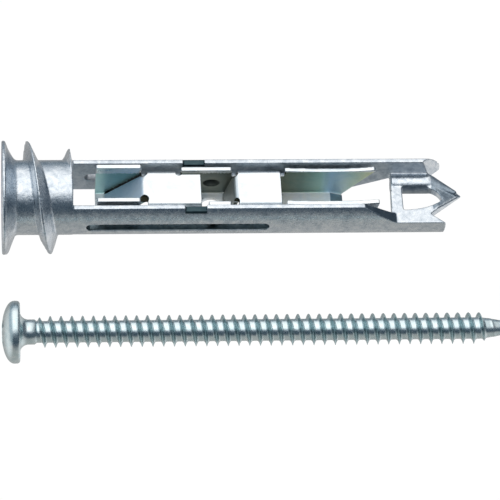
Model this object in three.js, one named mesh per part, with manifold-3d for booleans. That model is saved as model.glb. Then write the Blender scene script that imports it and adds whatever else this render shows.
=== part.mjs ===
// Self-drilling toggle anchor for hollow walls, lying beside its screw.
//
// Millimetres, +Z up. Both pieces lie along X with their heads towards -X. The channel of the
// anchor opens straight up, so the toggle bar turns about an axis along Y. The origin is the
// middle of the kit's footprint, on the surface that it lies on.
//
// Each piece is drawn in a frame of its own: x along its axis, y across, z up.

import * as THREE from "three";
import { mergeVertices } from "three/addons/utils/BufferGeometryUtils.js";
import Module from "manifold-3d";

const wasm = await Module();
wasm.setup();

// ---- Driving dimensions: anchor body, x measured from the front of the flange ----

const FLANGE = { radius: 7.57, rim: 0.3, coneEnd: 1.72, edge: 0.12 };
const COLLAR = { radius: 4.97, end: 9.48 };
const BORE_RADIUS = 2.5;
const BODY_RECESS = { span: 7.2, slot: 1.7, depth: 3.2 };
const BODY_THREAD = {
  pitch: 5.64, root: 4.63, crest: 7.55, base: 2.45, crestWidth: 0.3, flankPoints: 4,
  start: 0.7, end: 9.46, fadeOut: 0.8, crestAt: 3.24, crestAngle: 35, stepsPerTurn: 30,
};
const LEG = { inner: 3.38, radius: 4.93, half: 2.92, end: 58.99, root: 0.6, endWidth: 0.12 };
const LEG_SLOT = { start: 11.05, end: 35.37, width: 1.41, height: -0.2 };
const LEG_NOTCH = { centre: 25.54, width: 2.87, depth: 0.45 };
const LEG_TAPER = { start: 47.9, end: 52.4, clear: 0.01 };
const SPADE = { start: 52.09, shoulder: 57.16, point: 61.47, half: 0.6 };
const SPADE_EDGE = { bite: 0.4, lip: 0.05 };
const WINDOW = {
  start: 53.72, end: 58.78, low: -2.72, high: 0.81,
  bulge: 0.72, bowLow: 0.1, bowHigh: 0.35,
};
const SPINE = { radius: 1.31, across: 2.06, height: -0.25 };
const SPINE_TIP = { radius: 0.35, across: 0.25, shortOfPoint: 0.75 };

// ---- Driving dimensions: toggle bar, x measured from its pivot ----

const PIVOT_X = 27.97;
const PIVOT_HEIGHT = LEG_SLOT.height;
const SHEET = 0.6;
const FOLD_GAP = 0.05;
const TOGGLE = {
  left: -15.51, right: 21.99, outer: 3, back: -2.87, front: 2.27,
  proudLeft: 3.22, proudMiddle: 2.62, proudRight: 2.37,
  webHalf: 2.62, tongueHalf: 2.17, corner: 0.4,
};
const RAMP = { foot: -14.29, head: -9.15, bend: 0.1 };
const PLATEAU_LEFT = { start: -8.82, end: -4.81, tongueEnd: -1.98 };
const PLATEAU_RIGHT = { start: 3.24, end: 9.12, riser: 2.43, edge: 0.3 };
const RELIEF = { width: 0.6, floor: 1.2 };
const TAIL = {
  webEnd: 17.63, cutStart: 17.84, cutTop: 1.96, lip: 16.11, lipDrop: 0.25,
  dip: 1.96, top: 2.52, corner: 0.3,
};
const SCREW_HOLE_RADIUS = 1.45;
const TRUNNION = { radius: 0.5, reach: 4.13 };

// ---- Driving dimensions: screw, x measured from under its head ----

const SCREW_HEAD = { radius: 4.1, height: 2.47, rim: 0.83, edge: 0.3 };
const SCREW_NECK = { radius: 1.7, fillet: 0.9, end: 2.2 };
const SCREW_THREAD = {
  pitch: 1.411, root: 1.42, crest: 2.08, base: 0.72, crestWidth: 0.1, flankPoints: 0,
  start: 1.4, fadeIn: 1.6, crestAt: 3.96, crestAngle: 35, stepsPerTurn: 7,
};
const SCREW_LENGTH = 63.2;
const SCREW_TIP = { radius: 1.0, taper: 2.7 };
const SCREW_RECESS = { span: 4.2, slot: 0.85, depth: 1.7 };

// ---- Driving dimensions: how the two pieces lie ----

const SCREW_BESIDE = 19.12;
const SCREW_AHEAD = 2.12;

// ---- Tools for solids ----

const TURN = 2 * Math.PI;
const WELD = 1e-4;
const PAST = 1;
const LEAST_RIDGE = 0.05;

// How many sides the round shapes have.
const SIDES = { flange: 48, head: 36, bore: 24, spine: 20, pin: 20, dome: 7, fillet: 5, leg: 14 };

// A section drawn in (y, z) and extruded along x.
const ALONG_X = new THREE.Matrix4().makeBasis(
  new THREE.Vector3(0, 1, 0),
  new THREE.Vector3(0, 0, 1),
  new THREE.Vector3(1, 0, 0),
);

// A side view drawn in (x, z) and extruded towards -y.
const ALONG_Y = new THREE.Matrix4().makeBasis(
  new THREE.Vector3(1, 0, 0),
  new THREE.Vector3(0, 0, 1),
  new THREE.Vector3(0, -1, 0),
);

function signedVolume(positions, index) {
  const a = new THREE.Vector3();
  const b = new THREE.Vector3();
  const c = new THREE.Vector3();
  let sum = 0;
  for (let i = 0; i < index.count; i += 3) {
    a.fromBufferAttribute(positions, index.getX(i));
    b.fromBufferAttribute(positions, index.getX(i + 1));
    c.fromBufferAttribute(positions, index.getX(i + 2));
    sum += a.dot(b.cross(c)) / 6;
  }
  return sum;
}

// A closed three.js geometry becomes a solid whose faces point out.
function solid(geometry) {
  geometry.deleteAttribute("normal");
  geometry.deleteAttribute("uv");
  const merged = mergeVertices(geometry, WELD);
  const triangles = Uint32Array.from(merged.index.array);
  if (signedVolume(merged.attributes.position, merged.index) < 0) {
    triangles.reverse();
  }
  const mesh = new wasm.Mesh({
    numProp: 3,
    vertProperties: Float32Array.from(merged.attributes.position.array),
    triVerts: triangles,
  });
  return new wasm.Manifold(mesh);
}

function geometryOf(body) {
  const mesh = body.getMesh();
  const geometry = new THREE.BufferGeometry();
  geometry.setAttribute("position", new THREE.BufferAttribute(mesh.vertProperties, 3));
  geometry.setIndex(new THREE.BufferAttribute(mesh.triVerts, 1));
  return geometry;
}

function box(x0, x1, y0, y1, z0, z1) {
  const geometry = new THREE.BoxGeometry(x1 - x0, y1 - y0, z1 - z0);
  geometry.translate((x0 + x1) / 2, (y0 + y1) / 2, (z0 + z1) / 2);
  return solid(geometry);
}

function outline(points) {
  return new THREE.Shape(points.map(([a, b]) => new THREE.Vector2(a, b)));
}

function extrude(shape, depth, curveSegments = 10) {
  return new THREE.ExtrudeGeometry(shape, { depth, bevelEnabled: false, curveSegments });
}

// A plan view in (x, y) between two heights.
function plate(shape, z0, z1) {
  const geometry = extrude(shape, z1 - z0);
  geometry.translate(0, 0, z0);
  return solid(geometry);
}

// A side view in (x, z) between two places across.
function sideWall(shape, y0, y1) {
  const geometry = extrude(shape, y1 - y0);
  geometry.applyMatrix4(ALONG_Y);
  geometry.translate(0, y1, 0);
  return solid(geometry);
}

// A profile of (x, radius) points turned round the x axis.
function turned(profile, segments) {
  const points = profile.map(([x, radius]) => new THREE.Vector2(radius, x));
  const geometry = new THREE.LatheGeometry(points, segments);
  geometry.rotateZ(-Math.PI / 2);
  return solid(geometry);
}

function arc(cx, cr, radius, from, to, steps) {
  const points = [];
  for (let i = 0; i <= steps; i++) {
    const angle = THREE.MathUtils.degToRad(from + ((to - from) * i) / steps);
    points.push([cx + radius * Math.cos(angle), cr + radius * Math.sin(angle)]);
  }
  return points;
}

// A right-handed thread. Its cross section is a circle with one ridge, and it turns once in
// each pitch. Its crest passes the angle crestAngle, from y towards z, at the place crestAt.
// rootAt and ridgeAt give the core radius and how much of the ridge is left at x from its start.
// flankPoints is how many points keep each flank straight between the crest and the root.
function thread(size, length, rootAt, ridgeAt) {
  const ridge = (TURN * size.base) / size.pitch / 2;
  const crest = (TURN * size.crestWidth) / size.pitch / 2;
  const crestAngle = THREE.MathUtils.degToRad(size.crestAngle);
  const firstAngle = crestAngle - (TURN * (size.crestAt - size.start)) / size.pitch;
  const rootPoints = 3;
  const flank = [];
  for (let i = 0; i <= size.flankPoints + 1; i++) {
    const t = i / (size.flankPoints + 1);
    flank.push([THREE.MathUtils.lerp(crest, ridge, t), THREE.MathUtils.lerp(size.crest, size.root, t)]);
  }
  const section = [...flank.map(([angle, r]) => [-angle, r]).reverse(), ...flank];
  const gap = TURN - 2 * ridge;
  for (let i = 1; i <= rootPoints; i++) {
    section.push([ridge + (gap * i) / (rootPoints + 1), size.root]);
  }
  const shape = outline(section.map(([angle, r]) => [r * Math.cos(angle), r * Math.sin(angle)]));
  const steps = Math.ceil((length / size.pitch) * size.stepsPerTurn);
  const geometry = new THREE.ExtrudeGeometry(shape, { depth: length, steps, bevelEnabled: false });
  const positions = geometry.attributes.position;
  for (let i = 0; i < positions.count; i++) {
    const x = positions.getZ(i);
    const radius = Math.hypot(positions.getX(i), positions.getY(i));
    const angle = Math.atan2(positions.getY(i), positions.getX(i)) + firstAngle + (TURN * x) / size.pitch;
    const reached = rootAt(x) + (radius - size.root) * ridgeAt(x);
    positions.setXYZ(i, reached * Math.cos(angle), reached * Math.sin(angle), x);
  }
  geometry.applyMatrix4(ALONG_X);
  geometry.translate(size.start, 0, 0);
  return solid(geometry);
}

// A cross recess, open towards -x.
function crossRecess(size, front) {
  const half = size.slot / 2;
  const across = size.span / 2;
  const upright = box(front - PAST, front + size.depth, -half, half, -across, across);
  const level = box(front - PAST, front + size.depth, -across, across, -half, half);
  return upright.add(level);
}

// ---- Anchor body ----

function flangeAndCollar() {
  const blend = 0.35;
  const profile = [
    [0, BORE_RADIUS],
    [0, FLANGE.radius - FLANGE.edge],
    [FLANGE.edge, FLANGE.radius],
    [FLANGE.rim, FLANGE.radius],
    [FLANGE.coneEnd - blend / 2, COLLAR.radius + blend],
    [FLANGE.coneEnd + blend / 2, COLLAR.radius],
    [COLLAR.end, COLLAR.radius],
    [COLLAR.end, BORE_RADIUS],
    [0, BORE_RADIUS],
  ];
  return turned(profile, SIDES.flange);
}

function bodyThread() {
  const length = BODY_THREAD.end - BODY_THREAD.start;
  const rootAt = () => BODY_THREAD.root;
  const ridgeAt = (x) => THREE.MathUtils.clamp((length - x) / BODY_THREAD.fadeOut, LEAST_RIDGE, 1);
  const ridge = thread(BODY_THREAD, length, rootAt, ridgeAt);
  const bore = new THREE.CylinderGeometry(BORE_RADIUS + PAST, BORE_RADIUS + PAST, 2 * length, SIDES.bore);
  bore.rotateZ(Math.PI / 2);
  return ridge.subtract(solid(bore));
}

function legBlank() {
  const shape = new THREE.Shape();
  const halfAngle = Math.asin(LEG.half / LEG.radius);
  shape.moveTo(LEG.inner, -LEG.half);
  shape.absarc(0, 0, LEG.radius, -halfAngle, halfAngle, false);
  shape.lineTo(LEG.inner, LEG.half);
  const start = COLLAR.end - LEG.root;
  const geometry = extrude(shape, LEG.end - start, SIDES.leg);
  geometry.applyMatrix4(ALONG_X);
  geometry.translate(start, 0, 0);
  return solid(geometry);
}

// The wedge that narrows the leg on its back, ahead of the drill point.
function legTaper() {
  const side = outline([
    [LEG_TAPER.start, -LEG.half - LEG_TAPER.clear],
    [LEG_TAPER.end, -SPADE.half],
    [LEG.end + PAST, -SPADE.half],
    [LEG.end + PAST, -LEG.half - PAST],
    [LEG_TAPER.start, -LEG.half - PAST],
  ]);
  return sideWall(side, LEG.inner - PAST, LEG.radius + PAST);
}

// The slanted face that brings the inside of the leg out to a sharp end.
function legChamfer() {
  const plan = outline([
    [SPADE.shoulder, LEG.inner - SPADE_EDGE.lip],
    [LEG.end, LEG.radius - LEG.endWidth],
    [LEG.end + PAST, LEG.radius - LEG.endWidth],
    [LEG.end + PAST, LEG.inner - PAST],
    [SPADE.shoulder, LEG.inner - PAST],
  ]);
  return plate(plan, -LEG.half - PAST, LEG.half + PAST);
}

function legSlot() {
  const r = LEG_SLOT.width / 2;
  const shape = new THREE.Shape();
  shape.absarc(LEG_SLOT.start + r, LEG_SLOT.height, r, Math.PI / 2, 1.5 * Math.PI, false);
  shape.absarc(LEG_SLOT.end - r, LEG_SLOT.height, r, -Math.PI / 2, Math.PI / 2, false);
  return sideWall(shape, LEG.inner - PAST, LEG.radius + PAST);
}

function legNotch(side) {
  const x0 = LEG_NOTCH.centre - LEG_NOTCH.width / 2;
  const x1 = LEG_NOTCH.centre + LEG_NOTCH.width / 2;
  const y = side * (LEG.inner + LEG.radius) / 2;
  const reach = LEG.radius - LEG.inner;
  return box(x0, x1, y - reach, y + reach, LEG.half - LEG_NOTCH.depth, LEG.half + PAST);
}

// The two legs are the same leg turned half way round the axis, apart from the notches, which
// are both on top, and the slots, which are at the height of the toggle's pivot.
function legs() {
  const leg = legBlank().subtract(legTaper()).subtract(legChamfer());
  const other = leg.rotate([180, 0, 0]);
  const slot = legSlot();
  const otherSlot = slot.mirror([0, 1, 0]);
  return leg.add(other).subtract(slot).subtract(otherSlot).subtract(legNotch(1)).subtract(legNotch(-1));
}

function windowHole() {
  const hole = new THREE.Path();
  const middle = (WINDOW.low + WINDOW.high) / 2;
  const bulge = THREE.MathUtils.lerp(WINDOW.start, WINDOW.end, WINDOW.bulge);
  hole.moveTo(WINDOW.start, WINDOW.low);
  hole.lineTo(WINDOW.start, WINDOW.high);
  hole.quadraticCurveTo(bulge, WINDOW.high + WINDOW.bowHigh, WINDOW.end, middle);
  hole.quadraticCurveTo(bulge, WINDOW.low + WINDOW.bowLow, WINDOW.start, WINDOW.low);
  return hole;
}

// The flat of the drill point: it closes the channel between the legs and runs out to the point.
function spade() {
  const bite = LEG.inner + SPADE_EDGE.bite;
  const lip = LEG.inner - SPADE_EDGE.lip;
  const plan = outline([
    [SPADE.start, -bite],
    [SPADE.shoulder, -bite],
    [SPADE.shoulder, -lip],
    [SPADE.point, 0],
    [SPADE.shoulder, lip],
    [SPADE.shoulder, bite],
    [SPADE.start, bite],
  ]);
  plan.holes.push(windowHole());
  return plate(plan, -SPADE.half, SPADE.half);
}

// The round spine on one side of the flat, which thins out along the cutting edge.
function spine() {
  const length = SPADE.shoulder - SPADE.start;
  const straight = new THREE.CylinderGeometry(SPINE.radius, SPINE.radius, length, SIDES.spine);
  straight.rotateZ(-Math.PI / 2);
  straight.translate(SPADE.start + length / 2, SPINE.across, SPINE.height);
  const tip = new THREE.Vector3(SPADE.point - SPINE_TIP.shortOfPoint, SPINE_TIP.across, 0);
  const root = new THREE.Vector3(SPADE.shoulder, SPINE.across, SPINE.height);
  const along = tip.clone().sub(root);
  const cone = new THREE.CylinderGeometry(SPINE_TIP.radius, SPINE.radius, along.length(), SIDES.spine);
  cone.translate(0, along.length() / 2, 0);
  const lean = new THREE.Quaternion().setFromUnitVectors(new THREE.Vector3(0, 1, 0), along.normalize());
  cone.applyQuaternion(lean);
  cone.translate(root.x, root.y, root.z);
  const knuckle = new THREE.SphereGeometry(SPINE.radius, SIDES.spine, SIDES.spine / 2);
  knuckle.translate(root.x, root.y, root.z);
  return solid(straight).add(solid(cone)).add(solid(knuckle));
}

function anchorBody() {
  const cast = flangeAndCollar().add(bodyThread()).add(legs()).add(spade()).add(spine());
  return cast.subtract(crossRecess(BODY_RECESS, 0));
}

// ---- Toggle bar ----

// One side wall, seen from the side. It stands tall beside the ramp, the hole and the tail, and
// meets the folded-over tops in between, with a relief slit at the end of each fold.
function wallOutline() {
  const slits = [
    PLATEAU_LEFT.start - RELIEF.width, PLATEAU_LEFT.start,
    PLATEAU_LEFT.end, PLATEAU_LEFT.end + RELIEF.width,
    PLATEAU_RIGHT.start - RELIEF.width, PLATEAU_RIGHT.start,
    PLATEAU_RIGHT.end, PLATEAU_RIGHT.end + RELIEF.width,
  ];
  const tops = [TOGGLE.proudLeft, TOGGLE.front, TOGGLE.proudMiddle, TOGGLE.front, TOGGLE.proudRight];
  const points = [
    [TOGGLE.left, TOGGLE.back],
    [TOGGLE.left, tops[0] - TOGGLE.corner],
    [TOGGLE.left + TOGGLE.corner, tops[0]],
  ];
  for (let i = 0; i < 4; i++) {
    points.push([slits[2 * i], tops[i]], [slits[2 * i], RELIEF.floor]);
    points.push([slits[2 * i + 1], RELIEF.floor], [slits[2 * i + 1], tops[i + 1]]);
  }
  const wall = outline(points);
  wall.quadraticCurveTo(TAIL.cutStart, TAIL.dip, TOGGLE.right - TAIL.corner, TAIL.top);
  wall.quadraticCurveTo(TOGGLE.right, TAIL.top, TOGGLE.right, TAIL.top - TAIL.corner);
  wall.lineTo(TOGGLE.right - TAIL.corner, TAIL.cutTop);
  wall.lineTo(TAIL.cutStart, TOGGLE.back);
  return wall;
}

// The slanted tongue that rises from the back web to the left-hand top.
function ramp() {
  const low = TOGGLE.back;
  const high = TOGGLE.front;
  const side = outline([
    [TOGGLE.left, low],
    [RAMP.foot + RAMP.bend, low],
    [RAMP.head + RAMP.bend, high - SHEET],
    [PLATEAU_LEFT.tongueEnd, high - SHEET],
    [PLATEAU_LEFT.tongueEnd, high],
    [RAMP.head - RAMP.bend, high],
    [RAMP.foot - RAMP.bend, low + SHEET],
    [TOGGLE.left, low + SHEET],
  ]);
  return sideWall(side, -TOGGLE.tongueHalf, TOGGLE.tongueHalf);
}

// The part of the sheet that the screw goes through, and its step up to the right-hand top.
function step() {
  const low = TOGGLE.back;
  const high = TOGGLE.front;
  const side = outline([
    [PLATEAU_LEFT.tongueEnd + FOLD_GAP, low],
    [PLATEAU_RIGHT.riser + SHEET, low],
    [PLATEAU_RIGHT.riser + SHEET, high - SHEET],
    [PLATEAU_RIGHT.end, high - SHEET],
    [PLATEAU_RIGHT.end, high],
    [PLATEAU_RIGHT.riser + PLATEAU_RIGHT.edge, high],
    [PLATEAU_RIGHT.riser, high - PLATEAU_RIGHT.edge],
    [PLATEAU_RIGHT.riser, low + SHEET],
    [PLATEAU_LEFT.tongueEnd + FOLD_GAP, low + SHEET],
  ]);
  return sideWall(side, -TOGGLE.tongueHalf, TOGGLE.tongueHalf);
}

// The screw's hole through the back web, at the pivot.
function screwHole() {
  const hole = new THREE.CylinderGeometry(SCREW_HOLE_RADIUS, SCREW_HOLE_RADIUS, 2 * PAST, SIDES.bore);
  hole.rotateX(Math.PI / 2);
  hole.translate(0, 0, TOGGLE.back);
  return solid(hole);
}

function backWebs() {
  const back = TOGGLE.back;
  const left = box(TOGGLE.left, RAMP.foot, -TOGGLE.webHalf, TOGGLE.webHalf, back, back + SHEET);
  const middle = box(
    PLATEAU_LEFT.tongueEnd + FOLD_GAP, PLATEAU_RIGHT.riser,
    -TOGGLE.webHalf, TOGGLE.webHalf, back, back + SHEET,
  );
  const tail = outline([
    [PLATEAU_RIGHT.end, back],
    [TAIL.lip, back],
    [TAIL.webEnd, back - TAIL.lipDrop],
    [TAIL.webEnd, back - TAIL.lipDrop + SHEET],
    [TAIL.lip, back + SHEET],
    [PLATEAU_RIGHT.end, back + SHEET],
  ]);
  const right = sideWall(tail, -TOGGLE.webHalf, TOGGLE.webHalf);
  return left.add(middle).add(right);
}

function foldedTops() {
  const low = TOGGLE.front - SHEET;
  const half = TOGGLE.webHalf;
  const left = box(PLATEAU_LEFT.start, PLATEAU_LEFT.end, -half, half, low, TOGGLE.front);
  const right = box(PLATEAU_RIGHT.start, PLATEAU_RIGHT.end, -half, half, low, TOGGLE.front);
  return left.add(right);
}

function trunnion(side) {
  const inner = TOGGLE.outer - SHEET / 2;
  const length = TRUNNION.reach - inner;
  const pin = new THREE.CylinderGeometry(TRUNNION.radius, TRUNNION.radius, length, SIDES.pin);
  pin.translate(0, (side * (TRUNNION.reach + inner)) / 2, 0);
  return solid(pin);
}

function toggleBar() {
  const inner = TOGGLE.outer - SHEET;
  const wall = sideWall(wallOutline(), inner, TOGGLE.outer);
  const walls = wall.add(wall.mirror([0, 1, 0]));
  const sheet = walls.add(ramp()).add(step()).add(backWebs()).add(foldedTops());
  const lifted = sheet.subtract(screwHole()).translate([0, 0, -PIVOT_HEIGHT]);
  return lifted.add(trunnion(1)).add(trunnion(-1));
}

// ---- Screw ----

// A shallow dome over a short rim, and the flat underside that bears on the flange.
function headProfile() {
  const domeRise = SCREW_HEAD.height - SCREW_HEAD.rim;
  const profile = [];
  for (let i = 0; i <= SIDES.dome; i++) {
    const angle = (TURN / 4) * (i / SIDES.dome);
    profile.push([-SCREW_HEAD.rim - domeRise * Math.cos(angle), SCREW_HEAD.radius * Math.sin(angle)]);
  }
  profile.push([-SCREW_HEAD.edge, SCREW_HEAD.radius], [0, SCREW_HEAD.radius - SCREW_HEAD.edge]);
  return profile;
}

function screwHeadAndNeck() {
  const neck = arc(
    SCREW_NECK.fillet, SCREW_NECK.radius + SCREW_NECK.fillet, SCREW_NECK.fillet, 180, 270, SIDES.fillet,
  );
  const profile = [...headProfile(), ...neck, [SCREW_NECK.end, SCREW_THREAD.root], [SCREW_NECK.end, 0]];
  return turned(profile, SIDES.head);
}

function screwShank() {
  const length = SCREW_LENGTH - SCREW_THREAD.start;
  const taperFrom = length - SCREW_TIP.taper;
  const rootAt = (x) => {
    const t = THREE.MathUtils.clamp((x - taperFrom) / SCREW_TIP.taper, 0, 1);
    return THREE.MathUtils.lerp(SCREW_THREAD.root, SCREW_TIP.radius, t);
  };
  const ridgeAt = (x) => {
    const rising = THREE.MathUtils.clamp(x / SCREW_THREAD.fadeIn, 2 * LEAST_RIDGE, 1);
    const falling = THREE.MathUtils.clamp((length - x) / SCREW_TIP.taper, 0, 1);
    return Math.min(rising, falling);
  };
  return thread(SCREW_THREAD, length, rootAt, ridgeAt);
}

function screw() {
  const whole = screwHeadAndNeck().add(screwShank());
  return whole.subtract(crossRecess(SCREW_RECESS, -SCREW_HEAD.height));
}

// ---- The kit ----

const castZinc = new THREE.MeshStandardMaterial({ color: 0xa9b2b8, roughness: 0.42, metalness: 0.9 });
const platedSheet = new THREE.MeshStandardMaterial({ color: 0xc3d0d0, roughness: 0.25, metalness: 0.95 });
const platedScrew = new THREE.MeshStandardMaterial({ color: 0x9fb0ba, roughness: 0.3, metalness: 0.95 });

function named(name, body, material) {
  const mesh = new THREE.Mesh(geometryOf(body), material);
  mesh.name = name;
  return mesh;
}

const kit = new THREE.Group();

const anchor = new THREE.Group();
anchor.position.set(0, 0, FLANGE.radius);
anchor.add(named("anchor_body", anchorBody(), castZinc));
const toggle = named("toggle_bar", toggleBar(), platedSheet);
toggle.position.set(PIVOT_X, 0, PIVOT_HEIGHT);
anchor.add(toggle);
kit.add(anchor);

const screwMesh = named("screw", screw(), platedScrew);
screwMesh.position.set(SCREW_AHEAD, -SCREW_BESIDE, SCREW_HEAD.radius);
kit.add(screwMesh);

const footprint = new THREE.Box3().setFromObject(kit);
kit.position.set(-(footprint.min.x + footprint.max.x) / 2, -(footprint.min.y + footprint.max.y) / 2, 0);

const origin = new THREE.Group();
origin.add(kit);

export default origin;
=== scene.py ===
import math

import bmesh
import bpy
import numpy as np
from mathutils import Matrix, Vector


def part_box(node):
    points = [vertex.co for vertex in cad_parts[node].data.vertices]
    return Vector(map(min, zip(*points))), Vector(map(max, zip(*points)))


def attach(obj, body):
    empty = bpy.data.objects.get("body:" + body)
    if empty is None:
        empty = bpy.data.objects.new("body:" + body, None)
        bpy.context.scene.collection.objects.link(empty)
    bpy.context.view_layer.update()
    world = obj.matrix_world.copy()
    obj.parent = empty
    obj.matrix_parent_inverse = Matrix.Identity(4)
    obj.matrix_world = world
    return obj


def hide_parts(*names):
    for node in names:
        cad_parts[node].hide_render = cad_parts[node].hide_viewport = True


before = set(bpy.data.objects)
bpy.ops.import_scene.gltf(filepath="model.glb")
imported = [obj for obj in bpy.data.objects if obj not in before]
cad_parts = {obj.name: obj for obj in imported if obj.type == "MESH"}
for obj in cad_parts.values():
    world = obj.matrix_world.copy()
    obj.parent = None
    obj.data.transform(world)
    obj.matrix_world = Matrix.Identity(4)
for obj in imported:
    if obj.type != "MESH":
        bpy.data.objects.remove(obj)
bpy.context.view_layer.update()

SCENE = bpy.context.scene
TURN = 2 * math.pi
MM = 0.001

# ---- Places, from the frame. Pieces are drawn in mm in frames of their own: x along the axis ----

FLANGE_RADIUS = 7.52
BODY_LENGTH = 60.65
SCREW_LENGTH = 63.2
HEAD_RADIUS = 4.1
PIVOT_X = 27.6


def anchor_origin():
    """The middle of the flange's front face."""
    low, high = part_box("anchor_body")
    return Vector((low.x, (low.y + high.y) / 2, (low.z + high.z) / 2))


def anchor_scale():
    """Metres along and across the axis for each mm that the anchor and its toggle are drawn at."""
    low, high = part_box("anchor_body")
    across = (high.z - low.z) / (2 * FLANGE_RADIUS)
    return Vector(((high.x - low.x) / BODY_LENGTH, across, across))


def screw_origin():
    """The middle of the flat side under the screw's head."""
    low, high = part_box("screw")
    return Vector((high.x - SCREW_LENGTH * MM, (low.y + high.y) / 2, low.z + HEAD_RADIUS * MM))


ANCHOR = anchor_origin()
ANCHOR_SCALE = anchor_scale()
SCREW = screw_origin()

# ---- Mesh tools ----


def mesh_object(name, verts, faces):
    mesh = bpy.data.meshes.new(name)
    mesh.from_pydata([tuple(v) for v in verts], [], faces)
    bm = bmesh.new()
    bm.from_mesh(mesh)
    bmesh.ops.remove_doubles(bm, verts=bm.verts, dist=1e-5)
    bmesh.ops.recalc_face_normals(bm, faces=bm.faces)
    bm.to_mesh(mesh)
    bm.free()
    obj = bpy.data.objects.new(name, mesh)
    SCENE.collection.objects.link(obj)
    return obj


AXES = {"x": (1, 2, 0), "y": (0, 2, 1), "z": (0, 1, 2)}


def prism(outline, along, start, end):
    """A closed outline swept along one axis: (y, z) along x, (x, z) along y or (x, y) along z."""
    a, b, c = AXES[along]
    count = len(outline)
    verts = []
    for depth in (start, end):
        for p, q in outline:
            v = [0.0, 0.0, 0.0]
            v[a], v[b], v[c] = p, q, depth
            verts.append(v)
    faces = [list(range(count)), list(range(2 * count - 1, count - 1, -1))]
    for i in range(count):
        j = (i + 1) % count
        faces.append([i, j, count + j, count + i])
    return mesh_object("prism", verts, faces)


def block(x0, x1, y0, y1, z0, z1):
    return prism([(x0, y0), (x1, y0), (x1, y1), (x0, y1)], "z", z0, z1)


def lathe(profile, sides):
    """A closed profile of (x, radius) points turned round the x axis."""
    verts = []
    for i in range(sides):
        angle = TURN * i / sides
        for x, r in profile:
            verts.append((x, r * math.cos(angle), r * math.sin(angle)))
    count = len(profile)
    faces = []
    for i in range(sides):
        for k in range(count):
            n = (k + 1) % count
            j = (i + 1) % sides
            faces.append([i * count + k, i * count + n, j * count + n, j * count + k])
    return mesh_object("lathe", verts, faces)


def arc(cx, cy, radius, start, end, steps):
    points = []
    for i in range(steps + 1):
        angle = math.radians(start + (end - start) * i / steps)
        points.append((cx + radius * math.cos(angle), cy + radius * math.sin(angle)))
    return points


def upright(x):
    """Flanks as wide as the section says."""
    return 1, 1


def helix(section, pitch, start, end, turn_at, steps_per_turn, root_at, ridge_at, flanks_at=upright):
    """A right-handed thread. section holds (half of the axial width, radius) from crest to root. At
    each place along the axis turn_at gives the crest's angle, from y towards z, root_at the root's
    radius, ridge_at the share of its height that the ridge has there, and flanks_at what the
    section's widths are multiplied by on its head side and on its far side."""
    turn_of = TURN / pitch
    half = [(w * turn_of, r) for w, r in section]
    ring = [(-a, r) for a, r in reversed(half) if a > 0] + half
    ridge_points = len(ring)
    gap = TURN - 2 * half[-1][0]
    fill = 9
    ring += [(half[-1][0] + gap * i / (fill + 1), half[-1][1]) for i in range(1, fill + 1)]
    root = half[-1][1]
    steps = math.ceil((end - start) / pitch * steps_per_turn)
    verts = []
    for i in range(steps + 1):
        x = start + (end - start) * i / steps
        turn = turn_at(x)
        near, far = flanks_at(x)
        for k, (angle, radius) in enumerate(ring):
            if k < ridge_points:
                angle *= near if angle > 0 else far
            r = root_at(x) + (radius - root) * ridge_at(x)
            verts.append((x, r * math.cos(angle + turn), r * math.sin(angle + turn)))
    count = len(ring)
    faces = [list(range(count)), list(range(steps * count, (steps + 1) * count))]
    for i in range(steps):
        for k in range(count):
            n = (k + 1) % count
            faces.append([i * count + k, i * count + n, (i + 1) * count + n, (i + 1) * count + k])
    return mesh_object("helix", verts, faces)


def bent_strip(path, bend, thickness, steps=8):
    """The side view of a sheet that follows a path, with round bends."""
    line = [Vector(path[0])]
    for before, here, after in zip(path, path[1:], path[2:]):
        p, q, r = Vector(before), Vector(here), Vector(after)
        into, out = (q - p).normalized(), (r - q).normalized()
        angle = into.angle(out)
        reach = bend * math.tan(angle / 2)
        side = 1 if into.x * out.y - into.y * out.x > 0 else -1
        normal = Vector((-into.y, into.x)) * side
        centre = q - into * reach + normal * bend
        for i in range(steps + 1):
            turn = Matrix.Rotation(side * angle * i / steps, 2)
            line.append(centre + turn @ (-normal * bend))
    line.append(Vector(path[-1]))
    left, right = [], []
    for i, p in enumerate(line):
        a = line[max(i - 1, 0)]
        b = line[min(i + 1, len(line) - 1)]
        along = (b - a).normalized()
        off = Vector((-along.y, along.x)) * thickness / 2
        left.append(tuple(p + off))
        right.append(tuple(p - off))
    return left + right[::-1]


def applied(obj):
    """Turns an object's modifiers into its mesh."""
    bpy.context.view_layer.update()
    graph = bpy.context.evaluated_depsgraph_get()
    mesh = bpy.data.meshes.new_from_object(obj.evaluated_get(graph))
    obj.modifiers.clear()
    old = obj.data
    obj.data = mesh
    bpy.data.meshes.remove(old)
    return obj


def combine(obj, others, operation):
    for other in others:
        modifier = obj.modifiers.new("join", "BOOLEAN")
        modifier.operation = operation
        modifier.solver = "EXACT"
        modifier.object = other
        applied(obj)
        bpy.data.objects.remove(other)
    return obj


def unite(*objs):
    return combine(objs[0], objs[1:], "UNION")


def cut(obj, *cutters):
    return combine(obj, cutters, "DIFFERENCE")


def softened(obj, voxel, smooth, keep):
    """Melts a solid's pieces into one skin whose edges are slightly round."""
    remesh = obj.modifiers.new("skin", "REMESH")
    remesh.mode = "VOXEL"
    remesh.voxel_size = voxel
    remesh.adaptivity = 0
    soft = obj.modifiers.new("soft", "SMOOTH")
    soft.factor = 0.5
    soft.iterations = smooth
    thin = obj.modifiers.new("thin", "DECIMATE")
    thin.ratio = keep
    return applied(obj)


def shade(red, green, blue, dull=0.0):
    """A tint or a painted shade for painted: what the colour is multiplied by, and what is added to the
    roughness.
    """
    return (red, green, blue, dull)


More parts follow.
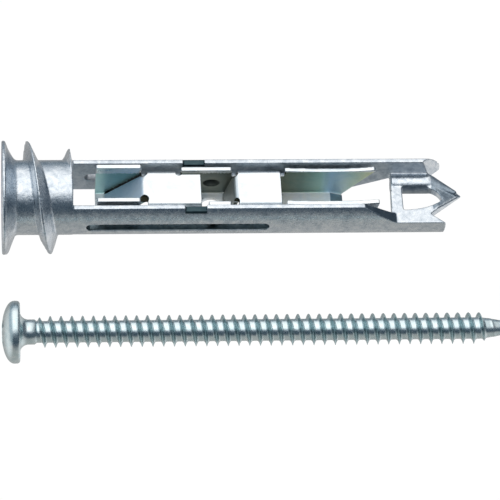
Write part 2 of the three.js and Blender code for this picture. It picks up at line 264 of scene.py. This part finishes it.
def painted(obj, painted_shade_and_tint):
    """Stores the skin's tint and painted shade at each point, as given by shade."""
    mesh = obj.data
    values = [part for v in mesh.vertices for part in painted_shade_and_tint(v.co, v.normal)]
    mesh.attributes.new("painted_shade_and_tint", "FLOAT_COLOR", "POINT").data.foreach_set("color", values)
    return obj


def placed(obj, name, origin, scale, body, node, material):
    """Scales a finished solid to metres and puts it in its place on its body."""
    obj.name = name
    obj.data.name = name
    obj.data.transform(Matrix.Translation(origin) @ Matrix.Diagonal((*scale, 1)))
    obj.data.materials.clear()
    obj.data.materials.append(material)
    obj.data.polygons.foreach_set("use_smooth", [True] * len(obj.data.polygons))
    obj.data.update()
    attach(obj, body)
    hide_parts(node)
    return obj


# ---- Materials ----


def node(tree, kind, values=None, **settings):
    n = tree.nodes.new(kind)
    for key, value in settings.items():
        setattr(n, key, value)
    for key, value in (values or {}).items():
        n.inputs[key].default_value = value
    return n


def ramp(tree, source, stops):
    r = tree.nodes.new("ShaderNodeValToRGB")
    elements = r.color_ramp.elements
    while len(elements) < len(stops):
        elements.new(0.5)
    for element, (place, colour) in zip(elements, stops):
        element.position = place
        element.color = (*colour, 1)
    tree.links.new(source, r.inputs["Fac"])
    return r.outputs["Color"]


def noise(tree, coords, scale, detail=4, rough=0.55, distortion=0.0, stretch=None):
    vector = coords
    if stretch:
        mapping = node(tree, "ShaderNodeMapping")
        mapping.inputs["Scale"].default_value = stretch
        tree.links.new(coords, mapping.inputs["Vector"])
        vector = mapping.outputs["Vector"]
    n = node(tree, "ShaderNodeTexNoise", {
        "Scale": scale, "Detail": detail, "Roughness": rough, "Distortion": distortion,
    })
    tree.links.new(vector, n.inputs["Vector"])
    return n.outputs["Fac"]


def bumped(tree, height, distance, normal):
    b = node(tree, "ShaderNodeBump", {"Strength": 1.0, "Distance": distance})
    tree.links.new(height, b.inputs["Height"])
    if normal is not None:
        tree.links.new(normal, b.inputs["Normal"])
    return b.outputs["Normal"]


def added(tree, a, b):
    """a + b, kept between 0 and 1."""
    n = node(tree, "ShaderNodeMath", operation="ADD", use_clamp=True)
    tree.links.new(a, n.inputs[0])
    tree.links.new(b, n.inputs[1])
    return n.outputs["Value"]


def multiplied(tree, a, b):
    n = node(tree, "ShaderNodeMix", data_type="RGBA", blend_type="MULTIPLY")
    n.inputs[0].default_value = 1.0
    tree.links.new(a, n.inputs[6])
    tree.links.new(b, n.inputs[7])
    return n.outputs[2]


def mixed(tree, factor, a, b):
    n = node(tree, "ShaderNodeMix", data_type="RGBA")
    tree.links.new(factor, n.inputs[0])
    tree.links.new(a, n.inputs[6])
    tree.links.new(b, n.inputs[7])
    return n.outputs[2]


def metal(name, colours, patches, roughness, waves, stretch=None):
    """Bare or plated metal. colours is a ramp over a noise of patches (per metre), roughness a ramp
    over the finest grain, and waves holds the noise scale per metre and the bump distance in metres
    of each surface texture, the finest one last."""
    material = bpy.data.materials.new(name)
    material.use_nodes = True
    tree = material.node_tree
    tree.nodes.clear()
    out = node(tree, "ShaderNodeOutputMaterial")
    shader = node(tree, "ShaderNodeBsdfPrincipled", {"Metallic": 1.0})
    tree.links.new(shader.outputs["BSDF"], out.inputs["Surface"])
    coords = node(tree, "ShaderNodeTexCoord").outputs["Object"]
    # The attribute holds each point's tint and painted shade, which darkens the colour where shade falls.
    painted_shade_and_tint = node(tree, "ShaderNodeAttribute", attribute_name="painted_shade_and_tint")
    blotch = noise(tree, coords, patches, 4, 0.65, 0.6)
    colour = multiplied(tree, ramp(tree, blotch, colours), painted_shade_and_tint.outputs["Color"])
    tree.links.new(colour, shader.inputs["Base Color"])
    normal = None
    for scale, distance in waves:
        grain = noise(tree, coords, scale, 3, 0.6, stretch=stretch)
        normal = bumped(tree, grain, distance, normal)
    tree.links.new(normal, shader.inputs["Normal"])
    rough = node(tree, "ShaderNodeSeparateColor")
    tree.links.new(ramp(tree, grain, roughness), rough.inputs["Color"])
    tree.links.new(added(tree, rough.outputs["Red"], painted_shade_and_tint.outputs["Alpha"]), shader.inputs["Roughness"])
    return material


def grey(value):
    return (value, value, value)


CAST_ZINC = metal(
    "cast_zinc",
    [(0.3, (0.48, 0.54, 0.60)), (0.5, (0.68, 0.73, 0.78)), (0.7, (0.85, 0.88, 0.90))],
    1100, [(0.3, grey(0.2)), (0.7, grey(0.38))],
    [(500, 0.00004), (1900, 0.00003), (5600, 0.000012)],
)
PLATED_SHEET = metal(
    "plated_sheet",
    [(0.3, (0.74, 0.83, 0.88)), (0.5, (0.86, 0.90, 0.92)), (0.7, (0.88, 0.90, 0.88))],
    330, [(0.3, grey(0.24)), (0.7, grey(0.36))],
    [(350, 0.00003), (3500, 0.000005)], (0.3, 1, 1),
)
PLATED_SCREW = metal(
    "plated_screw",
    [(0.3, (0.56, 0.68, 0.71)), (0.5, (0.68, 0.785, 0.805)), (0.7, (0.80, 0.86, 0.87))],
    900, [(0.3, grey(0.2)), (0.7, grey(0.34))],
    [(600, 0.00001), (2600, 0.000008), (6500, 0.000006)],
)

# ---- Anchor body ----

COLLAR_RADIUS = 4.94
COLLAR_END = 9.15
BORE_RADIUS = 2.5
LEG_INNER = 3.36
LEG_RADIUS = 4.9
LEG_HALF = 2.9
LEG_END = 58.2
SPADE_HALF = 0.6
TAPER_START = {1: 46.1, -1: 47.3}
TAPER_END = 51.7
NOTCH_X = 25.2
NOTCH_HALF = 1.415
NOTCH_DEPTH = 0.36
SLOT_START = 11.6
SLOT_END = 34.2
SLOT_HALF = 0.7
PIVOT_HEIGHT = -0.2
THREAD_PITCH = 5.56
THREAD_ROOT = 4.6
THREAD_CREST = 7.5
THREAD_START = 0.15
THREAD_END = 9.22
SPADE_START = 51.4
SPADE_WIDE = 3.76
SHOULDER_X = 56.4
SHOULDER_Y = 3.31
SPINE_RADIUS = 1.3
SPINE_Y = 2.05
SPINE_Z = -0.25
CAST_VOXEL = 0.11


def flange_and_collar():
    profile = [
        (0, BORE_RADIUS), (0, 7.4), (0.05, 7.48), (0.12, FLANGE_RADIUS), (0.38, FLANGE_RADIUS),
        (0.48, 7.4), (0.88, 6.35), (1.35, 5.5), (1.6, 5.15), (1.8, 4.98), (2.0, COLLAR_RADIUS),
        (COLLAR_END, COLLAR_RADIUS), (COLLAR_END, BORE_RADIUS),
    ]
    return lathe(profile, 128)


def body_thread():
    """The wallboard thread, which advances unevenly: its crest passes angles at places."""
    edge, edge_radius, flank, drop = 0.18, 7.34, 0.87, 2.3
    section = [(0, THREAD_CREST), (0.1, 7.47), (edge, edge_radius)]
    section += [(edge + flank * t / 5, edge_radius - drop * t / 5) for t in range(1, 6)]
    section += [(1.25, 4.75), (1.5, THREAD_ROOT)]
    half_turn, first, last = 3.17, 0.5, 8.86
    places = [first - half_turn, first, 2.85, 3.2, 6.32, last, last + half_turn]
    angles = [math.radians(a) for a in (-325, -145, -13, 35, 215, 395, 575)]

    def turn_at(x):
        return float(np.interp(x, places, angles))

    def root_at(x):
        return THREAD_ROOT

    def ridge_at(x):
        return float(np.interp(x, [7, 8.2, 8.9, THREAD_END], [1, 0.56, 0.66, 0.05]))

    def flanks_at(x):
        near = np.interp(x, [0.4, 1.8, 3.4, 5.0, 6.3, 8.9], [1, 0.1, 0.1, 1.3, 1.3, 0.6])
        far = np.interp(x, [1.5, 3, 6.4, 8.9], [0.8, 1, 1.1, 0.6])
        return float(near), float(far)

    thread = helix(
        section, THREAD_PITCH, THREAD_START, THREAD_END, turn_at, 72, root_at, ridge_at, flanks_at,
    )
    core = 3.5
    return cut(thread, lathe([(-5, 0), (-5, core), (15, core), (15, 0)], 48))


def leg(side):
    """One leg, on the far side (1) or the near side (-1): tapered at the far end, where its inner
    face is chamfered away, and with its slot and its notch."""
    half_angle = math.degrees(math.asin(LEG_HALF / LEG_RADIUS))
    outline = [(LEG_INNER, -LEG_HALF)]
    outline += arc(0, 0, LEG_RADIUS, -half_angle, half_angle, 24)
    outline += [(LEG_INNER, LEG_HALF)]
    blank = prism([(side * y, z) for y, z in outline], "x", COLLAR_END - 0.6, LEG_END)
    through = sorted((side * 2, side * 6))
    taper = prism(
        [(TAPER_START[side], -side * (LEG_HALF + 0.01)), (TAPER_END, -side * SPADE_HALF),
         (60, -side * SPADE_HALF), (60, -side * 5), (TAPER_START[side], -side * 5)],
        "y", *through,
    )
    chamfer = prism(
        [(SHOULDER_X, side * SHOULDER_Y), (58.72, side * 5.2), (60, side * 5.2), (60, side * 2),
         (SHOULDER_X, side * 2)],
        "z", -5, 5,
    )
    slant = Matrix.Identity(4)
    slant[0][2] = -0.33
    chamfer.data.transform(slant)
    slot = prism(
        arc(SLOT_START, PIVOT_HEIGHT, SLOT_HALF, 90, 270, 10)
        + arc(SLOT_END, PIVOT_HEIGHT, SLOT_HALF, -90, 90, 10),
        "y", *through,
    )
    notch = block(NOTCH_X - NOTCH_HALF, NOTCH_X + NOTCH_HALF, *through, LEG_HALF - NOTCH_DEPTH, 5)
    return cut(blank, taper, chamfer, slot, notch)


def curve_through(p0, p1, p2, steps=8):
    points = []
    for i in range(steps + 1):
        t = i / steps
        points.append(tuple(
            (1 - t) ** 2 * a + 2 * t * (1 - t) * b + t * t * c for a, b, c in zip(p0, p1, p2)
        ))
    return points


def drill_point():
    """The flat point that joins the legs, with its window and a bevel on its tip."""
    plan = [
        (51.1, -SPADE_WIDE), (SHOULDER_X, -SPADE_WIDE), (SHOULDER_X, -SHOULDER_Y), (BODY_LENGTH, 0),
        (SHOULDER_X, SHOULDER_Y), (SHOULDER_X, SPADE_WIDE), (SPADE_START, SPADE_WIDE),
    ]
    plate = prism(plan, "z", -SPADE_HALF, SPADE_HALF)
    bevel = prism([(57.2, SPADE_HALF), (60.8, -0.25), (61, 1), (57.2, 1)], "y", -5, 5)
    window_start, window_far = 52.75, 1.7
    window_tip = (58, -0.95)
    hole = [(window_start, window_far), (55.6, window_far)]
    hole += curve_through((SHOULDER_X, 0.75), (57.7, 0.3), window_tip)
    hole += curve_through(window_tip, (56.6, -2.6), (window_start, -2.7))[1:]
    return cut(plate, bevel, prism(hole, "z", -2, 2))


def spine():
    """The round rod beside the window and the cone that runs from it to the tip."""
    rod = [(SPADE_START, 0), (SPADE_START, SPINE_RADIUS), (SHOULDER_X, SPINE_RADIUS), (SHOULDER_X, 0)]
    straight = lathe(rod, 40)
    straight.data.transform(Matrix.Translation((0, SPINE_Y, SPINE_Z)))
    start, tip = Vector((SHOULDER_X, SPINE_Y, SPINE_Z)), Vector((59.9, 0.25, 0))
    length = (tip - start).length
    rounding = [(-SPINE_RADIUS, 0), (-1.13, 0.65), (-0.65, 1.13), (0, SPINE_RADIUS)]
    cone = lathe(rounding + [(length, 0.35), (length + 0.3, 0)], 40)
    turn = Vector((1, 0, 0)).rotation_difference(tip - start).to_matrix().to_4x4()
    cone.data.transform(Matrix.Translation(start) @ turn)
    return unite(straight, cone)


def recess(front, span, slot, depth):
    """The cutter of a cross recess."""
    standing = block(front - 1, front + depth, -slot / 2, slot / 2, -span / 2, span / 2)
    lying = block(front - 1, front + depth, -span / 2, span / 2, -slot / 2, slot / 2)
    return unite(standing, lying)


def cast_painted_shade(place, normal):
    """Painted shade on the casting: it is darkest in the legs' notches and slots, darker on the near leg's
    taper, the drill point's bevel and the spine's flanks, and a little darker and rougher on the legs'
    inner faces."""
    x, y, z = place
    across = abs(y)
    plain = shade(1, 1, 1)
    # Painted shade: the notches' floors and their inner parts are painted dark teal.
    in_notch = abs(x - NOTCH_X) < NOTCH_HALF + 0.05 and abs(z - LEG_HALF + 0.4) < 0.28
    if in_notch and across > LEG_INNER - 0.2:
        return shade(0.075, 0.115, 0.125, 0.1) if normal.z > 0.3 or across < LEG_INNER + 0.6 else plain
    # Painted shade: the slots' walls are painted dark, darker on the near leg than on the far one.
    in_slot = 10.8 < x < 35 and abs(z - PIVOT_HEIGHT) < 0.75
    if in_slot and LEG_INNER + 0.1 < across < LEG_RADIUS - 0.12:
        return shade(0.30, 0.36, 0.37, 0.1) if y < 0 else shade(0.6, 0.6, 0.6, 0.1)
    # Painted shade: the near leg's taper face is painted darker.
    if y < 0 and TAPER_START[-1] < x < TAPER_END + 0.2 and normal.z > 0.6 and normal.x > 0.25:
        return shade(0.24, 0.29, 0.33, 0.1)
    # Painted shade: the drill point's bevelled top near the tip is painted darker, all but a strip along
    # its lower cutting edge.
    if x > 56.7 and z > -0.3 and normal.z > 0.6:
        edge = (y + SHOULDER_Y) * (BODY_LENGTH - SHOULDER_X) - (x - SHOULDER_X) * SHOULDER_Y
        return shade(0.42, 0.47, 0.51, 0.1) if edge > 1.7 else plain
    # Painted shade: the spine's flanks and the faces beside them that do not face up are painted darker.
    if x > SPADE_START and 0.6 < y < LEG_INNER - 0.1 and z < 0.75 and normal.z < 0.75:
        return shade(0.5, 0.53, 0.56, 0.1)
    # Painted shade: the legs' inner faces are painted a little darker, and made rougher.
    if x > COLLAR_END + 0.1 and across < LEG_INNER + 0.08 and normal.y * y < -0.7 * across:
        return shade(0.86, 0.88, 0.90, 0.25)
    return plain


def anchor_body():
    whole = unite(flange_and_collar(), body_thread(), leg(1), leg(-1), drill_point(), spine())
    driven = cut(whole, recess(front=0, span=7.2, slot=1.7, depth=3.2))
    return painted(softened(driven, CAST_VOXEL, smooth=3, keep=0.4), cast_painted_shade)


# ---- Toggle bar: x from the pivot, z from the anchor's axis ----

WALL_OUT = 2.975
SHEET = 0.6
BACK = -2.85
FRONT = 2.25
TONGUE = 2.05
BEND = 0.9
HEAD_END = -15.3
RAMP_FOOT = -14.1
RAMP_HEAD = -9.0
MIDDLE_START = -1.9
MIDDLE_END = 3.0
TAIL_START = 9.0
TAIL_FLOOR_END = 15.9
SHEET_VOXEL = 0.08


def wall(side):
    """One long wall. The near one is bent over the left plateau for longer and is lower at the pivot."""
    low = BACK + BEND - 0.05
    fold = FRONT - BEND + 0.05
    if side > 0:
        tops = [(HEAD_END, -9.3, 3.2), (-8.7, -4.75, fold), (-4.15, 2.6, 2.6), (3.2, TAIL_START, fold)]
        end = [(21.6, 2.4), (21.7, 2.2), (21.4, 1.95)]
    else:
        tops = [(HEAD_END, -9.6, 3.15), (-8.6, -1.55, fold), (-0.7, 2.35, 2.25), (3.4, TAIL_START, fold)]
        end = [(21.7, 2.5), (21.8, 2.3), (21.6, 1.3)]
    saddle, corner = 1.2, 0.15
    points = []
    for x0, x1, top in tops:
        points += [(x0, saddle), (x0, top - corner), (x0 + corner, top)]
        points += [(x1 - corner, top), (x1, top - corner), (x1, saddle)]
    points = points[1:]
    tail_top = (9.6, 2.35)
    points += [(tail_top[0], saddle), tail_top]
    points += curve_through(tail_top, (17.6, 1.95), (21.4, 2.5))[1:]
    points += end + [(17.6, BACK), (TAIL_FLOOR_END, BACK), (TAIL_FLOOR_END, low)]
    points += [(TAIL_START, low), (TAIL_START, BACK), (MIDDLE_END, BACK), (MIDDLE_END, low)]
    points += [(MIDDLE_START, low), (MIDDLE_START, BACK)]
    points += [(RAMP_FOOT, BACK), (RAMP_FOOT, low), (HEAD_END, low)]
    return prism(points, "y", *sorted((side * (WALL_OUT - SHEET), side * WALL_OUT)))


def channel(x0, x1, flip):
    """The web between the walls with its two bends, at the back or, flipped, at the front."""
    base = FRONT if flip else BACK
    sign = -1 if flip else 1
    rim = BEND + 0.02
    inner = BEND - SHEET
    corner = WALL_OUT - BEND
    outer = [(-WALL_OUT, rim)] + arc(-corner, BEND, BEND, 180, 270, 8)
    outer += arc(corner, BEND, BEND, 270, 360, 8) + [(WALL_OUT, rim)]
    inside = [(WALL_OUT - SHEET, rim)] + arc(corner, BEND, inner, 0, -90, 5)
    inside += arc(-corner, BEND, inner, -90, -180, 5) + [(SHEET - WALL_OUT, rim)]
    return prism([(y, base + sign * z) for y, z in outer + inside], "x", x0, x1)


def round_hole(x, y, z, radius, reach):
    """The cutter of a round hole along z."""
    hole = lathe([(-reach, 0), (-reach, radius), (reach, radius), (reach, 0)], 32)
    hole.data.transform(Matrix.Translation((x, y, z)) @ Matrix.Rotation(math.pi / 2, 4, "Y"))
    return hole


# The round reliefs pressed at the corners of the two plateaus: x, y and radius. They are cut as blind
# pockets, whose floors and walls are painted near black as shade.
POCKETS = [
    (-9.1, -1.85, 0.62), (-9.1, 2.25, 0.42), (-4.4, 2.25, 0.36), (2.9, -2.25, 0.5), (2.95, 2.2, 0.42),
    (9.5, 2.25, 0.22), (9.5, -2.25, 0.22),
]


# The plating's colours on the walls' inner faces, at places along the axis, with painted shade that darkens
# them in the middle of the channel.
WALL_TINTS_AND_PAINTED_SHADE = [
    (-15.3, (0.74, 0.98, 0.94)), (-12.5, (0.44, 0.66, 0.62)), (-9.0, (0.22, 0.38, 0.36)),
    (-1.9, (0.34, 0.36, 0.32)), (3.0, (0.24, 0.26, 0.23)), (9.0, (0.30, 0.32, 0.25)),
    (12.0, (0.29, 0.36, 0.30)), (14.5, (0.46, 0.64, 0.56)), (15.8, (0.70, 0.88, 1.00)),
    (17.4, (0.84, 0.98, 1.00)), (18.5, (0.80, 0.94, 0.86)), (21.0, (1.00, 1.00, 0.70)),
]


def wall_tint_and_painted_shade(x):
    places = [place for place, colour in WALL_TINTS_AND_PAINTED_SHADE]
    return tuple(float(np.interp(x, places, [colour[k] for _, colour in WALL_TINTS_AND_PAINTED_SHADE])) for k in range(3))


def toggle_tint_and_painted_shade(place, normal):
    """The plating's tint and painted shade. The channel's inner walls carry the plating's colours darkened
    by painted shade; the hollows behind the trunnions, the pockets' floors and the gap beside the ramp are
    painted near black as shade; the ramp's face and the step's riser are painted darker as shade; the
    tail's lip is darker and bluer; the web is rougher; and what faces forward is left bright.
    """
    x, y, z = place
    across = abs(y)
    inner = WALL_OUT - SHEET
    # Painted shade: the hollow behind each trunnion is painted near black.
    in_dimple = (x / 1.1) ** 2 + ((z - PIVOT_HEIGHT) / 0.75) ** 2 < 1.1
    if in_dimple and abs(x) < 1.15 and across > inner - 0.05:
        return shade(0.09, 0.10, 0.09, 0.2)
    # Painted shade: the blind pockets' floors and walls are painted near black, standing in for the shade
    # inside the reliefs.
    for hole_x, hole_y, radius in POCKETS:
        if math.hypot(x - hole_x, y - hole_y) < radius + 0.04 and FRONT - SHEET < z < FRONT - 0.08:
            return shade(0.03, 0.03, 0.02, 0.2)
    # Painted shadow: the ramp's far edge and the far wall just below it are painted near black, as the
    # shadow in the gap between them.
    ramp_height = np.interp(x, [RAMP_FOOT, RAMP_HEAD], [BACK + SHEET, FRONT])
    if RAMP_FOOT < x < RAMP_HEAD + 0.1 and y > TONGUE - 0.06 and -0.75 < z - ramp_height < 0.06:
        return shade(0.03, 0.04, 0.04, 0.2)
    # The walls' inner faces get the plating's colours and painted shade from the table above, and are
    # rougher at the tail.
    faces_in = normal.y * y < -0.35 * across
    if faces_in and TONGUE - 0.3 < across < inner + 0.08 and z < FRONT - 0.2:
        return shade(*wall_tint_and_painted_shade(x), 0.3 if x > 15 else 0.12)
    # Painted shade: the ramp's sloping face is painted a little darker and bluer.
    if -14 < x < -9.2 and normal.z > 0.4 and normal.x < -0.4:
        return shade(0.76, 0.87, 1.00, 0.2)
    # Painted shade: the faces turned towards the head near the step up, its riser among them, are painted
    # darker.
    if 1.6 < x < 3.4 and normal.x < -0.6:
        return shade(0.62, 0.62, 0.60, 0.15)
    if x > TAIL_FLOOR_END and z < -1.8 and across < TONGUE + 0.1 and normal.z > 0:
        return shade(0.35, 0.43, 0.50, 0.1)
    if z < BACK + SHEET + 0.1 and normal.z > 0.5:
        return shade(1, 1, 1, 0.45)
    return shade(1, 1, 1)


def trunnion(side):
    """The round pin pressed out of a wall, which turns in the leg's slot."""
    pin = lathe([(2.6, 0), (2.6, 0.75), (3.0, 0.65), (3.2, 0.5), (4.0, 0.5), (4.1, 0.4), (4.1, 0)], 40)
    height = Matrix.Translation((0, 0, PIVOT_HEIGHT))
    pin.data.transform(height @ Matrix.Rotation(side * math.pi / 2, 4, "Z"))
    return pin


def dimple(side):
    """The cutter of the oval hollow behind a trunnion."""
    bowl = lathe([(-0.5, 0), (-0.5, 1.07), (0, 1.07), (0.3, 0.8), (0.65, 0.35), (0.7, 0)], 40)
    place = Matrix.Translation((0, side * (WALL_OUT - SHEET), PIVOT_HEIGHT))
    oval = Matrix.Scale(0.68, 4, (0, 0, 1))
    bowl.data.transform(place @ oval @ Matrix.Rotation(side * math.pi / 2, 4, "Z"))
    return bowl


def toggle_bar():
    middle = BACK + SHEET / 2
    top = FRONT - SHEET / 2
    rise = bent_strip([(HEAD_END, middle), (RAMP_FOOT, middle), (RAMP_HEAD, top), (-1.55, top)], 0.9, SHEET)
    step = bent_strip([(MIDDLE_START, middle), (1.9, middle), (3.1, top), (TAIL_START, top)], 0.6, SHEET)
    lip = (17.5, middle - 0.6)
    tail = bent_strip([(TAIL_START, middle), (TAIL_FLOOR_END, middle), lip], 0.6, SHEET)
    folded = cut(channel(-8.6, -1.55, True), block(-4.75, -1.5, 0, 4, 0, 4))
    rails = cut(channel(-14.2, -1.8, False), block(-14.3, -1.7, -TONGUE - 0.1, TONGUE + 0.1, -4, 0))
    bar = unite(
        wall(1), wall(-1),
        prism(rise, "y", -TONGUE, TONGUE), prism(step, "y", -TONGUE, TONGUE),
        prism(tail, "y", -TONGUE - 0.2, TONGUE + 0.2),
        channel(HEAD_END, RAMP_FOOT, False), channel(MIDDLE_START, 2.4, False),
        channel(TAIL_START, TAIL_FLOOR_END, False), folded, channel(3.3, TAIL_START, True), rails,
    )
    screw_hole = round_hole(0, 0, BACK, 1.5, 1)
    fold_relief = round_hole(-1.1, -2.4, FRONT, 0.45, 1.4)
    cut(bar, screw_hole, fold_relief)
    cut(bar, *[round_hole(x, y, FRONT, radius, 0.4) for x, y, radius in POCKETS])
    for side in (1, -1):
        unite(bar, trunnion(side))
        cut(bar, dimple(side))
    return painted(softened(bar, SHEET_VOXEL, smooth=2, keep=0.45), toggle_tint_and_painted_shade)


# ---- Screw ----

PITCH = 1.411
ROOT = 1.42
CREST = 2.08
HEAD_RIM = 0.7
HEAD_DOME = 1.66
TIP_RADIUS = 1.0
TIP_LENGTH = 2.7
NECK_FILLET = 1.1
NECK_END = 2.2


def screw_head():
    profile = []
    for i in range(24):
        angle = math.pi / 2 * i / 24
        profile.append((
            -HEAD_RIM - HEAD_DOME * math.cos(angle) ** 0.95, HEAD_RADIUS * math.sin(angle) ** 0.92,
        ))
    profile += [(-HEAD_RIM, HEAD_RADIUS), (-0.3, 4.08), (-0.1, 3.98), (0, 3.8)]
    profile += arc(NECK_FILLET, 2.74, NECK_FILLET, 180, 270, 10)
    profile += [(1.9, 1.64), (NECK_END, ROOT), (NECK_END, 0)]
    driver = recess(front=-HEAD_RIM - HEAD_DOME, span=4.2, slot=0.85, depth=1.7)
    return cut(lathe(profile, 96), driver)


def screw_thread():
    section = [
        (0, CREST), (0.035, CREST - 0.03), (0.08, CREST - 0.16), (0.15, CREST - 0.36),
        (0.225, ROOT + 0.15), (0.3, ROOT + 0.06), (0.39, ROOT + 0.015), (0.48, ROOT),
    ]
    start = 1.4
    last_crest = SCREW_LENGTH - 2.8
    top_x, top_angle = 3.96, math.radians(35)

    def root_at(x):
        t = min(max((x - SCREW_LENGTH + TIP_LENGTH) / TIP_LENGTH, 0), 1)
        return ROOT + (TIP_RADIUS - ROOT) * t ** 1.2

    def ridge_at(x):
        return min(max((x - start) / 1.6, 0.1), 1) * min(max(1 - (x - last_crest) / 1.4, 0.05), 1)

    def turn_at(x):
        return top_angle + TURN * (x - top_x) / PITCH

    return helix(section, PITCH, start, SCREW_LENGTH, turn_at, 32, root_at, ridge_at)


def screw_flank_painted_shade(place, normal):
    """Painted shade: the thread's flanks are painted a little darker and greener than the shank between
    them.
    """
    x, y, z = place
    flank = min(max((math.hypot(y, z) - ROOT - 0.08) / 0.2, 0), 1) if x > NECK_END else 0
    return shade(1 - 0.28 * flank, 1 - 0.18 * flank, 1 - 0.16 * flank)


def screw():
    whole = unite(screw_head(), screw_thread())
    whole.data.set_sharp_from_angle(angle=math.radians(40))
    return painted(whole, screw_flank_painted_shade)


# ---- Pieces on their bodies ----

PIVOT = ANCHOR + Vector((PIVOT_X * ANCHOR_SCALE.x, 0, 0))
placed(
    anchor_body(), "anchor_casting", ANCHOR, ANCHOR_SCALE,
    "anchor", "anchor_body", CAST_ZINC,
)
placed(
    toggle_bar(), "toggle_stamping", PIVOT, ANCHOR_SCALE,
    "toggle", "toggle_bar", PLATED_SHEET,
)
placed(
    screw(), "pan_head_screw", SCREW, (MM, MM, MM),
    "screw", "screw", PLATED_SCREW,
)

# ---- Floor, light and camera ----


def make_floor():
    half = 3.0
    height = -0.0098
    corners = [(-half, -half, height), (half, -half, height), (half, half, height), (-half, half, height)]
    floor = mesh_object("floor", corners, [[0, 1, 2, 3]])
    material = bpy.data.materials.new("pale_floor")
    material.use_nodes = True
    tree = material.node_tree
    tree.nodes.clear()
    out = node(tree, "ShaderNodeOutputMaterial")
    seen = node(tree, "ShaderNodeEmission", {"Color": (1, 1, 1, 1), "Strength": 1.02})
    clear = node(tree, "ShaderNodeBsdfTransparent")
    either = node(tree, "ShaderNodeMixShader")
    tree.links.new(node(tree, "ShaderNodeLightPath").outputs["Is Camera Ray"], either.inputs[0])
    tree.links.new(clear.outputs["BSDF"], either.inputs[1])
    tree.links.new(seen.outputs["Emission"], either.inputs[2])
    tree.links.new(either.outputs["Shader"], out.inputs["Surface"])
    floor.data.materials.append(material)


def degrees(stops):
    """Ramp places from angles: 0 is the horizon in front, 90 overhead, -90 straight down."""
    return [((angle + 180) / 360, colour) for angle, colour in stops]


def make_sky():
    """A soft tent: a wide light overhead, a pale table below, a dark room in front and at the right,
    and a paler one at the left."""
    world = bpy.data.worlds.new("studio")
    SCENE.world = world
    world.use_nodes = True
    tree = world.node_tree
    tree.nodes.clear()
    out = node(tree, "ShaderNodeOutputWorld")
    sky = node(tree, "ShaderNodeBackground", {"Strength": 1.0})
    tree.links.new(sky.outputs["Background"], out.inputs["Surface"])
    direction = node(tree, "ShaderNodeTexCoord").outputs["Generated"]
    split = node(tree, "ShaderNodeSeparateXYZ")
    tree.links.new(direction, split.inputs["Vector"])
    front = node(tree, "ShaderNodeMath", operation="MULTIPLY")
    front.inputs[1].default_value = -1
    tree.links.new(split.outputs["Y"], front.inputs[0])
    angle = node(tree, "ShaderNodeMath", operation="ARCTAN2")
    tree.links.new(split.outputs["Z"], angle.inputs[0])
    tree.links.new(front.outputs["Value"], angle.inputs[1])
    share = node(tree, "ShaderNodeMath", operation="MULTIPLY_ADD")
    share.inputs[1].default_value = 1 / TURN
    share.inputs[2].default_value = 0.5
    tree.links.new(angle.outputs["Value"], share.inputs[0])
    middle = ramp(tree, share.outputs["Value"], degrees([
        (-178, (0.17, 0.23, 0.28)), (-150, grey(0.36)), (-90, (0.46, 0.46, 0.45)),
        (-20, (0.39, 0.40, 0.39)), (-4, (0.26, 0.28, 0.29)), (3, (0.05, 0.075, 0.10)),
        (42, (0.05, 0.08, 0.11)), (50, (0.20, 0.25, 0.30)), (58, (0.6, 0.66, 0.72)), (68, grey(1.45)),
        (112, grey(1.45)), (124, grey(1.25)), (142, grey(1.25)), (158, (0.55, 0.60, 0.66)),
        (176, (0.17, 0.23, 0.28)),
    ]))
    right = ramp(tree, share.outputs["Value"], degrees([
        (-178, grey(0.6)), (-90, grey(0.85)), (-6, grey(0.5)), (2, (0.06, 0.085, 0.11)),
        (90, (0.12, 0.15, 0.18)), (176, (0.06, 0.09, 0.12)),
    ]))
    left = ramp(tree, share.outputs["Value"], degrees([
        (-178, grey(0.66)), (-90, grey(0.9)), (-6, grey(0.7)), (4, (0.28, 0.34, 0.38)),
        (90, (0.50, 0.58, 0.64)), (174, (0.40, 0.50, 0.58)),
    ]))
    colour = middle
    for side, reach in ((right, (0.28, 0.62)), (left, (-0.46, -0.8))):
        sideways = node(tree, "ShaderNodeMapRange", {"From Min": reach[0], "From Max": reach[1]})
        tree.links.new(split.outputs["X"], sideways.inputs["Value"])
        colour = mixed(tree, sideways.outputs["Result"], colour, side)
    tree.links.new(colour, sky.inputs["Color"])


def make_camera():
    yaw, tilt, roll = math.radians(5), math.radians(35), math.radians(0.4)
    back = Vector((
        -math.sin(yaw), -math.cos(yaw) * math.sin(tilt), math.cos(yaw) * math.cos(tilt),
    ))
    level = Vector((1, 0, 0)) - back.x * back
    level.normalize()
    up = back.cross(level)
    right = math.cos(roll) * level - math.sin(roll) * up
    up = back.cross(right)
    distance = 0.45
    wide = 0.06674
    kit_middle, beside, below = 0.0328, 0.00025, 0.00716
    aim = ANCHOR + Vector((kit_middle, 0, 0)) + beside * right - below * up
    data = bpy.data.cameras.new("camera")
    data.sensor_width = 36
    data.lens = data.sensor_width * distance / wide
    data.clip_start, data.clip_end = 0.01, 20
    camera = bpy.data.objects.new("camera", data)
    SCENE.collection.objects.link(camera)
    place = Matrix((right, up, back)).transposed().to_4x4()
    place.translation = aim + back * distance
    camera.matrix_world = place
    SCENE.camera = camera


make_floor()
make_sky()
make_camera()
SCENE.view_settings.view_transform = "Standard"
